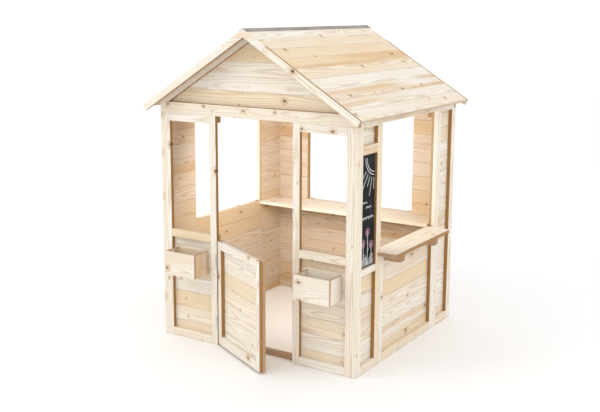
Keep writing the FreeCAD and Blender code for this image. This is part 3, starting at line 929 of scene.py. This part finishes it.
class PlankTree(GeometryTree):
    """Planks with rounded edges, side by side in one plane."""

    edge_steps = 2

    def __init__(self) -> None:
        """Builds the tree."""
        super().__init__("plank_row", Length="Float", Pitch="Float", Thickness="Float", Seam="Float",
                         Edge_Radius="Float", Count="Int", Seed="Int", Unevenness="Float",
                         Sawn="Float", Back="Float", Corner="Vector", Turn="Vector", Wood="Material")
        given = self.given
        first = self.vector(y=self.math("DIVIDE", given["Pitch"], 2.0),
                            z=self.math("DIVIDE", given["Thickness"], 2.0))
        line = self.node("GeometryNodeMeshLine", {"mode": "OFFSET"}, Count=given["Count"],
                         Start_Location=first, Offset=self.vector(y=given["Pitch"]))
        row = self.node("GeometryNodeInstanceOnPoints", Points=line.outputs["Mesh"],
                        Instance=self.one_plank())
        rise = self.math("MULTIPLY", self.dice(-1.0, 0.0, given["Seed"]), given["Unevenness"])
        moved = self.node("GeometryNodeTranslateInstances", Instances=row.outputs["Instances"],
                          Translation=self.vector(z=rise))
        number = self.dice(0.0, 1.0, self.math("ADD", given["Seed"], 1.0))
        numbered = self.store(moved.outputs["Instances"], BOARD, number, "INSTANCE")
        placed = self.node("GeometryNodeTransform", Geometry=numbered, Translation=given["Corner"],
                           Rotation=given["Turn"])
        self.close(placed.outputs["Geometry"], given["Wood"])

    def one_plank(self) -> Socket:
        """Makes one plank along X, centred in its width and thickness.

        Returns:
            The plank's geometry socket.
        """
        given = self.given
        line = self.node("GeometryNodeCurvePrimitiveLine", Start=(0.0, 0.0, 0.0),
                         End=self.vector(x=given["Length"]))
        section = self.node("GeometryNodeCurvePrimitiveQuadrilateral", Height=given["Thickness"],
                            Width=self.math("SUBTRACT", given["Pitch"], given["Seam"]))
        eased = self.node("GeometryNodeFilletCurve", {"mode": "POLY"}, Curve=section.outputs["Curve"],
                          Count=self.edge_steps, Radius=given["Edge Radius"])
        plank = self.node("GeometryNodeCurveToMesh", Curve=line.outputs["Curve"],
                          Profile_Curve=eased.outputs["Curve"], Fill_Caps=True)
        half = self.vector(x=self.math("DIVIDE", given["Length"], 2.0))
        own = self.vector_math("SUBTRACT", self.node("GeometryNodeInputPosition").outputs["Position"], half)
        plank = self.store(self.flat_shaded(plank.outputs["Mesh"]), GRAIN, own, "POINT", "FLOAT_VECTOR")
        facing = self.split(self.node("GeometryNodeInputNormal").outputs["Normal"])
        end = self.math("GREATER_THAN", self.math("ABSOLUTE", facing["X"]), END_LEAN)
        # Painted shade, darkening as if in shadow: one share on the planks' sideways faces, another on their
        # rear faces.
        side = self.math("GREATER_THAN", self.math("ABSOLUTE", facing["Y"]), SIDE_LEAN)
        back = self.math("MULTIPLY", self.math("LESS_THAN", facing["Z"], -SIDE_LEAN), given["Back"])
        rough = self.math("MULTIPLY_ADD", side, given["Sawn"], back)
        return self.store(self.store(plank, END_GRAIN, end, "FACE"), PAINTED_SHADE, rough, "FACE")


@dataclass
class PlankRow:
    """A node of equal planks, laid by the plank tree with their faces outwards.

    The planks' sides and their rear faces each take their own share of painted shade.
    """

    node: str
    tree: PlankTree
    seed: int
    seam: float = 0.6 * MM
    edge_radius: float = 1.1 * MM
    unevenness: float = 0.25 * MM
    # Shares of painted shade on the planks' sides and on their rear faces.
    side_shade: float = 0.5
    back: float = 0.40

    def build(self) -> bpy.types.Object:
        """Builds the row and puts it in the node's place.

        Returns:
            The piece.
        """
        solids = Solid.of_node(self.node)
        length = solids[0].axes()[0]
        spread = solids[-1].centre() - solids[0].centre()
        across = (spread - length * spread.dot(length)).normalized()
        outwards = solids[0].centre() + spread / 2 - CAD_MIDDLE
        if length.cross(across).dot(outwards) < 0:
            length = -length
        axes = Matrix((length, across, length.cross(across)))
        reaches = [solid.reach(axes) for solid in solids]
        low = Vector(min(reach[0][i] for reach in reaches) for i in range(3))
        size = Vector(max(reach[1][i] for reach in reaches) for i in range(3)) - low
        turn = axes.transposed()
        piece = self.tree.grow(bpy.data.meshes.new(f"{self.node}_row"), Length=size.x,
                               Pitch=size.y / len(solids), Thickness=size.z, Seam=self.seam,
                               Edge_Radius=self.edge_radius, Count=len(solids), Seed=self.seed,
                               Unevenness=self.unevenness, Sawn=self.side_shade, Back=self.back,
                               Corner=list(turn @ low), Turn=list(turn.to_euler("XYZ")),
                               Wood=Finish.PINE.material())
        return stand_for(piece, self.node)


# ------------------------------------------------------------------------ screws and chalk
class ScrewTree(GeometryTree):
    """Countersunk heads with a cross recess, one on each point and facing as it says.

    The widths of a head's top and of the cross are shares of the head's radius.
    """

    sides = 24
    top = 0.78
    cross_length = 1.15
    cross_width = 0.24

    def __init__(self) -> None:
        """Builds the tree."""
        super().__init__("screw_heads", Points="Geometry", Radius="Float", Thickness="Float",
                         Recess="Float", Seed="Int", Metal="Material")
        given = self.given
        facing = self.node("GeometryNodeInputNamedAttribute", {"data_type": "FLOAT_VECTOR"}, Name=FACING)
        upright = self.node("FunctionNodeAlignRotationToVector", {"axis": "Z"},
                            Vector=self.socket(facing.outputs, "Attribute"))
        turned = self.node("FunctionNodeRotateRotation", {"rotation_space": "LOCAL"},
                           Rotation=upright.outputs["Rotation"],
                           Rotate_By=self.vector(z=self.dice(0.0, math.pi, given["Seed"])))
        heads = self.node("GeometryNodeInstanceOnPoints", Points=given["Points"], Instance=self.one_head(),
                          Rotation=turned.outputs["Rotation"])
        self.close(heads.outputs["Instances"], given["Metal"])

    def one_head(self) -> Socket:
        """Makes one head, rising from the origin along Z.

        Returns:
            The head's geometry socket.
        """
        radius, thickness = self.given["Radius"], self.given["Thickness"]
        head = self.node("GeometryNodeMeshCone", Vertices=self.sides, Depth=thickness, Radius_Bottom=radius,
                         Radius_Top=self.math("MULTIPLY", radius, self.top))
        solid = head.outputs["Mesh"]
        long_side = self.math("MULTIPLY", radius, self.cross_length)
        narrow = self.math("MULTIPLY", radius, self.cross_width)
        deep = self.math("MULTIPLY", self.given["Recess"], 2.0)
        for width, height in ((long_side, narrow), (narrow, long_side)):
            slot = self.node("GeometryNodeMeshCube", Size=self.vector(width, height, deep))
            raised = self.node("GeometryNodeTransform", Geometry=slot.outputs["Mesh"],
                               Translation=self.vector(z=thickness))
            cut = self.node("GeometryNodeMeshBoolean", {"operation": "DIFFERENCE"})
            self.feed(cut.inputs[0], solid)
            self.feed(cut.inputs[1], raised.outputs["Geometry"])
            solid = cut.outputs["Mesh"]
        return self.flat_shaded(solid)


@dataclass
class Screws:
    """One node of screw heads."""

    node: str
    tree: ScrewTree
    seed: int
    recess: float = 0.6 * MM

    def build(self) -> bpy.types.Object:
        """Puts a head on each face that the model has one on.

        Returns:
            The piece.
        """
        places, facings, radius, thick = [], [], 0.0, 0.0
        for solid in Solid.of_node(self.node):
            low, high = solid.reach(Matrix.Identity(3))
            centre, size = (low + high) / 2, high - low
            axis = min(range(3), key=lambda i: size[i])
            facing = Vector((0.0, 0.0, 0.0))
            facing[axis] = math.copysign(1.0, (centre - CAD_MIDDLE)[axis])
            radius, thick = max(size) / 2, size[axis]
            places.append(centre - facing * thick / 2)
            facings.append(facing)
        mesh = bpy.data.meshes.new(f"{self.node}_zinc")
        mesh.from_pydata(places, [], [])
        stored = mesh.attributes.new(FACING, "FLOAT_VECTOR", "POINT")
        for value, facing in zip(stored.data, facings):
            value.vector = facing
        piece = self.tree.grow(mesh, Radius=radius, Thickness=thick, Recess=self.recess, Seed=self.seed,
                               Metal=Finish.ZINC.material())
        return stand_for(piece, self.node)


class StrokeTree(GeometryTree):
    """Flat chalk strokes along drawn lines."""

    sides = 8

    def __init__(self) -> None:
        """Builds the tree."""
        super().__init__("chalk_strokes", Lines="Geometry", Half_Width="Float", Flatness="Float",
                         Step="Float", Corner="Vector", Chalk="Material")
        given = self.given
        line = self.node("GeometryNodeMeshToCurve", Mesh=given["Lines"])
        even = self.node("GeometryNodeResampleCurve", {"mode": "LENGTH"}, Curve=line.outputs["Curve"],
                         Length=given["Step"])
        ring = self.node("GeometryNodeCurvePrimitiveCircle", Resolution=self.sides,
                         Radius=given["Half Width"])
        stroke = self.node("GeometryNodeCurveToMesh", Curve=even.outputs["Curve"],
                           Profile_Curve=ring.outputs["Curve"], Fill_Caps=True)
        placed = self.node("GeometryNodeTransform", Geometry=stroke.outputs["Mesh"],
                           Translation=given["Corner"], Scale=self.vector(given["Flatness"], 1.0, 1.0))
        self.close(placed.outputs["Geometry"], given["Chalk"])


@dataclass
class ChalkDrawing:
    """A made-up child's drawing: a sun in the corner, birds, a cloud, flowers and grass.

    Places are shares of the board's width and height, and sizes are shares of its width.
    """

    tree: StrokeTree
    board: str = "blackboard"
    half_width: float = 1.9 * MM
    petal_half_width: float = 0.95 * MM
    flatness: float = 0.12
    step: float = 4.0 * MM
    margin: float = 0.03
    sun_place: Point = (0.98, 0.975)
    sun_arcs: Span = (0.56, 0.66)
    ray_start: float = 0.76
    ray_end: Span = (1.05, 1.50)
    rays: int = 8
    ray_angle: float = 186.0
    ray_turn: float = 11.5
    bird_places: tuple[Point, ...] = ((0.30, 0.56), (0.58, 0.515))
    wing: float = 0.09
    cloud_place: Point = (0.20, 0.425)
    bumps: int = 5
    bump_pitch: float = 0.16
    bump_radius: float = 0.085
    blooms: tuple[Point, ...] = ((0.24, 0.22), (0.54, 0.31), (0.80, 0.19))
    petals_out: float = 0.085
    petal_radius: float = 0.06
    stem_foot: float = 0.02
    stem_bend: float = 0.02
    leaf: float = 0.09
    leaf_height: float = 0.42
    blades: int = 15
    blade_start: Point = (0.06, 0.012)
    blade_pitch: float = 0.062
    blade_heights: Span = (0.05, 0.11)
    blade_lean: float = 0.03
    hand: random.Random = field(default_factory=lambda: random.Random("chalk"))

    def __post_init__(self) -> None:
        """Measures the board."""
        low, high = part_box(self.board)
        self.corner = [high.x, low.y, low.z]
        self.width, self.height = high.y - low.y, high.z - low.z

    def at(self, across: float, up: float) -> Point:
        """Gives the place at two shares of the board."""
        return (self.width * across, self.height * up)

    def around(self, middle: Point, radius: float, degrees: float) -> Point:
        """Gives the place at a distance, as a share of the board's width, and an angle from another."""
        reach, angle = self.width * radius, math.radians(degrees)
        return (middle[0] + reach * math.cos(angle), middle[1] + reach * math.sin(angle))

    def arc(self, middle: Point, radius: float, start: float, end: float, steps: int) -> Line:
        """Draws part of a circle.

        Args:
            middle: Its centre.
            radius: Its radius, as a share of the board's width.
            start: The angle that it starts from, in degrees.
            end: The angle that it ends at, in degrees.
            steps: The number of straight pieces.

        Returns:
            The line's points.
        """
        return [self.around(middle, radius, start + (end - start) * i / steps) for i in range(steps + 1)]

    def sun(self) -> list[Line]:
        """Draws the sun's arcs and rays, as far as the board's edge.

        Returns:
            Its lines.
        """
        middle = self.at(*self.sun_place)
        lines = [self.arc(middle, share, start=183, end=266, steps=14) for share in self.sun_arcs]
        for ray in range(self.rays):
            angle = self.ray_angle + ray * self.ray_turn
            end = self.ray_end[0] + (self.ray_end[1] - self.ray_end[0]) * self.hand.random()
            lines.append([self.around(middle, reach, angle) for reach in (self.ray_start, end)])
        low, high = self.width * self.margin, self.width * (1 - self.margin)
        return [[point for point in line if low < point[0] < high] for line in lines]

    def birds(self) -> list[Line]:
        """Draws two birds, each as two short arcs."""
        return [self.arc(self.at(across + side * self.wing, up), self.wing, start=20, end=160, steps=8)
                for across, up in self.bird_places for side in (-1, 1)]

    def cloud(self) -> list[Line]:
        """Draws a cloud's bumps."""
        across, up = self.cloud_place
        return [self.arc(self.at(across + self.bump_pitch * bump, up), self.bump_radius,
                         start=0, end=180, steps=8) for bump in range(self.bumps)]

    def grass(self) -> list[Line]:
        """Draws blades of grass along the bottom, leaning either way.

        Returns:
            Its lines.
        """
        lines = []
        start, foot = self.blade_start
        low, high = self.blade_heights
        for blade in range(self.blades):
            across = start + self.blade_pitch * blade
            top = low + (high - low) * self.hand.random()
            lean = self.blade_lean * self.hand.uniform(-1, 1)
            lines.append([self.at(across, foot), self.at(across + lean, top)])
        return lines

    def stems(self) -> list[Line]:
        """Draws the flowers' stems and leaves.

        Returns:
            Their lines.
        """
        lines = []
        for across, top in self.blooms:
            lines.append([self.at(across, self.stem_foot), self.at(across + self.stem_bend, top / 2),
                          self.at(across, top)])
            lines.append(self.arc(self.at(across + self.leaf, top * self.leaf_height), self.leaf,
                                  start=90, end=180, steps=6))
        return lines

    def petals(self) -> list[Line]:
        """Draws six petals round each flower's middle, each a small loop."""
        return [self.arc(middle, self.petal_radius, start=0, end=350, steps=10) for bloom in self.blooms
                for middle in self.arc(self.at(*bloom), self.petals_out, start=0, end=300, steps=5)]

    def draw(self, name: str, lines: list[Line], chalk: Finish, half_width: float) -> None:
        """Makes one piece of strokes on the board's face.

        Args:
            name: The piece's name.
            lines: The lines to follow, in the board's own plane.
            chalk: The chalk's finish.
            half_width: Half a stroke's width.
        """
        places, links = [], []
        for line in (line for line in lines if len(line) > 1):
            start = len(places)
            places += [(0.0, across, up) for across, up in line]
            links += [(start + i, start + i + 1) for i in range(len(line) - 1)]
        mesh = bpy.data.meshes.new(name)
        mesh.from_pydata(places, links, [])
        piece = self.tree.grow(mesh, Half_Width=half_width, Flatness=self.flatness, Step=self.step,
                               Corner=self.corner, Chalk=chalk.material())
        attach(piece, body_of_node(self.board))
        log.info("%s has %d faces", name, len(piece.data.polygons))

    def build(self) -> None:
        """Draws everything in two chalks."""
        white = [line for part in (self.sun, self.birds, self.cloud, self.grass, self.stems)
                 for line in part()]
        self.draw("chalk_white", white, Finish.WHITE_CHALK, self.half_width)
        self.draw("chalk_pink", self.petals(), Finish.PINK_CHALK, self.petal_half_width)


# --------------------------------------------------------------------------- sub-assemblies
@dataclass
class Walls:
    """The framed wall panels with their planks, and the beams and blocks that tie them."""

    planks: PlankTree
    panels: tuple[str, ...] = ("front_left", "front_right", "back_left", "back_middle", "back_right",
                               "left_front", "left_middle", "left_back",
                               "right_front", "right_middle", "right_back")
    beams: tuple[str, ...] = ("front_header", "back_header", "left_header", "right_header")
    seed: int = 100
    seed_step: int = 7
    block_arris: float = 1.0 * MM
    # Shares of painted shade laid over the whole of the joint blocks and of the threshold bar.
    block_shade: float = 0.60
    threshold_shade: float = 0.80

    def build(self) -> None:
        """Builds every panel, then the beams, the joint blocks and the threshold."""
        for number, panel in enumerate(self.panels):
            Joinery(f"{panel}_frame").build()
            PlankRow(f"{panel}_planks", self.planks, seed=self.seed + number * self.seed_step).build()
        for beam in self.beams:
            # The beams' tops take painted shade as well, as they sit in shadow.
            Joinery(beam, lit_top=False).build()
        Joinery("joint_blocks", arris=self.block_arris, face_shade=self.block_shade).build()
        Joinery("threshold_bar", face_shade=self.threshold_shade).build()


@dataclass
class Roof:
    """Both slopes with their battens, the gables, the barge boards and the ridge strip."""

    planks: PlankTree
    seed: int = 462
    seed_step: int = 9
    # The share of painted shade on the lower faces of the roof planks.
    underside_shade: float = 0.55
    gable_arris: float = 1.5 * MM
    ridge_arris: float = 0.5 * MM

    def build(self) -> None:
        """Builds the slopes, then both ends and the ridge."""
        for number, side in enumerate(("left", "right")):
            PlankRow(f"roof_{side}_planks", self.planks, seed=self.seed + number * self.seed_step,
                     back=self.underside_shade).build()
            Joinery(f"roof_{side}_battens").build()
        for end in ("front", "back"):
            Joinery(f"{end}_gable_rafters").build()
            Joinery(f"{end}_gable_planks", arris=self.gable_arris).build()
            # The barge boards' tops take painted shade as well.
            Joinery(f"{end}_barge_boards", lit_top=False).build()
            Joinery(f"{end}_apex_piece", along=Vector((1, 0, 0))).build()
        Joinery("ridge_cap", Finish.RIDGE, arris=self.ridge_arris).build("ridge_strip")


@dataclass
class Fittings:
    """The counter with its brackets, the inner shelf and the two flower boxes."""

    counter_arris: float = 2.2 * MM
    shelf_arris: float = 2.0 * MM
    round_steps: int = 3
    bracket_arris: float = 1.8 * MM
    # The share of painted shade laid over the whole of each bracket.
    bracket_shade: float = 0.80
    planter_arris: float = 1.5 * MM

    def build(self) -> None:
        """Builds each fitting."""
        Joinery("counter_board", arris=self.counter_arris, arris_steps=self.round_steps,
                batch="boards").build()
        Joinery("counter_brackets", arris=self.bracket_arris, face_shade=self.bracket_shade).build()
        Joinery("inner_shelf", arris=self.shelf_arris, arris_steps=self.round_steps).build()
        Joinery("shelf_cleats").build()
        for side in ("left", "right"):
            Joinery(f"{side}_planter", arris=self.planter_arris, batch="boards").build()


@dataclass
class Door:
    """The half door on its two butt hinges."""

    planks: PlankTree
    seed: int = 700
    # The share of painted shade on the door planks' rear faces.
    inside_shade: float = 0.15
    hinge_arris: float = 0.25 * MM

    def build(self) -> None:
        """Builds the door and its hinges."""
        Joinery("door_frame").build()
        PlankRow("door_planks", self.planks, seed=self.seed, back=self.inside_shade).build()
        for node in ("hinge_post_leaves", "hinge_door_leaves", "hinge_pins"):
            Joinery(node, Finish.ZINC, arris=self.hinge_arris, arris_steps=1).build(f"{node}_zinc")


@dataclass
class Blackboard:
    """The painted board and the drawing on it."""

    arris: float = 0.8 * MM

    def build(self) -> None:
        """Builds the board and draws on it."""
        Joinery("blackboard", Finish.BOARD, arris=self.arris).build("blackboard_panel")
        ChalkDrawing(StrokeTree()).build()


@dataclass
class Fixings:
    """The screw heads at the corners and along the headers."""

    seed: int = 800

    def build(self) -> None:
        """Builds both nodes of screws."""
        tree = ScrewTree()
        for number, node in enumerate(("corner_screws", "header_screws")):
            Screws(node, tree, seed=self.seed + number).build()


# ------------------------------------------------------------------------------- studio
@dataclass(frozen=True)
class Lamp:
    """One soft square lamp, aimed at the middle of the house unless it has a target."""

    name: str
    place: Triple
    size: float
    power: float
    colour: Triple = (1.0, 0.99, 0.97)
    target: Triple | None = None

    def build(self) -> None:
        """Sets the lamp up."""
        data = bpy.data.lights.new(self.name, "AREA")
        data.size = self.size
        data.energy = self.power
        data.color = self.colour
        made = bpy.data.objects.new(self.name, data)
        made.location = self.place
        aim = Vector(self.target or CAD_MIDDLE) - Vector(self.place)
        made.rotation_euler = aim.to_track_quat("-Z", "Y").to_euler()
        bpy.context.scene.collection.objects.link(made)


@dataclass
class Studio:
    """The floor, the soft lights and the camera."""

    camera_place: Triple = (2.2782, -3.6303, 1.5310)
    camera_turn: float = 32.61
    camera_tilt: float = -10.27
    camera_roll: float = 0.24
    lens: float = 55.39
    sensor: float = 36.0
    rise: float = -0.05
    floor_half: float = 14.0
    floor_drop: float = 0.5 * MM
    sky: Triple = (1.0, 1.0, 1.0)
    sky_strength: float = 1.07
    lamps: tuple[Lamp, ...] = (
        Lamp("key", place=(-2.6, -3.4, 3.6), size=2.2, power=40.0),
        Lamp("fill", place=(3.8, -1.0, 2.4), size=2.6, power=12.0),
        Lamp("cabin", place=(0.0, -0.26, 0.86), size=0.36, power=6.0, colour=(1.0, 0.97, 0.92),
             target=(-0.12, 0.5, 0.62)),
    )

    def camera(self) -> None:
        """Sets up the camera."""
        data = bpy.data.cameras.new("camera")
        data.lens = self.lens
        data.sensor_width = self.sensor
        data.shift_y = self.rise
        made = bpy.data.objects.new("camera", data)
        made.location = self.camera_place
        turn = Matrix.Rotation(math.radians(self.camera_turn), 4, "Z")
        tilt = Matrix.Rotation(math.radians(90 + self.camera_tilt), 4, "X")
        roll = Matrix.Rotation(math.radians(self.camera_roll), 4, "Z")
        made.rotation_euler = (turn @ tilt @ roll).to_euler()
        bpy.context.scene.collection.objects.link(made)
        bpy.context.scene.camera = made

    def floor(self) -> None:
        """Lays the floor just under the house."""
        half = self.floor_half
        mesh = bpy.data.meshes.new("floor")
        mesh.from_pydata([(-half, -half, 0), (half, -half, 0), (half, half, 0), (-half, half, 0)],
                         [], [(0, 1, 2, 3)])
        mesh.materials.append(Finish.FLOOR.material())
        made = add_object("floor", mesh)
        made.location.z = cad_low.z - self.floor_drop

    def build(self) -> None:
        """Builds the floor, the sky, the lamps and the camera."""
        self.floor()
        world = bpy.data.worlds.new("sky")
        world.use_nodes = True
        sky = world.node_tree.nodes["Background"]
        sky.inputs["Color"].default_value = (*self.sky, 1.0)
        sky.inputs["Strength"].default_value = self.sky_strength
        bpy.context.scene.world = world
        bpy.context.scene.view_settings.view_transform = "Standard"
        for lamp in self.lamps:
            lamp.build()
        self.camera()


def main() -> None:
    """Builds the playhouse and its studio."""
    logging.basicConfig(level=logging.INFO, format="%(message)s")
    planks = PlankTree()
    for part in (Walls(planks), Roof(planks), Fittings(), Door(planks), Blackboard(), Fixings(), Studio()):
        log.info("building %s", type(part).__name__)
        part.build()


if __name__ == "__main__":
    main()
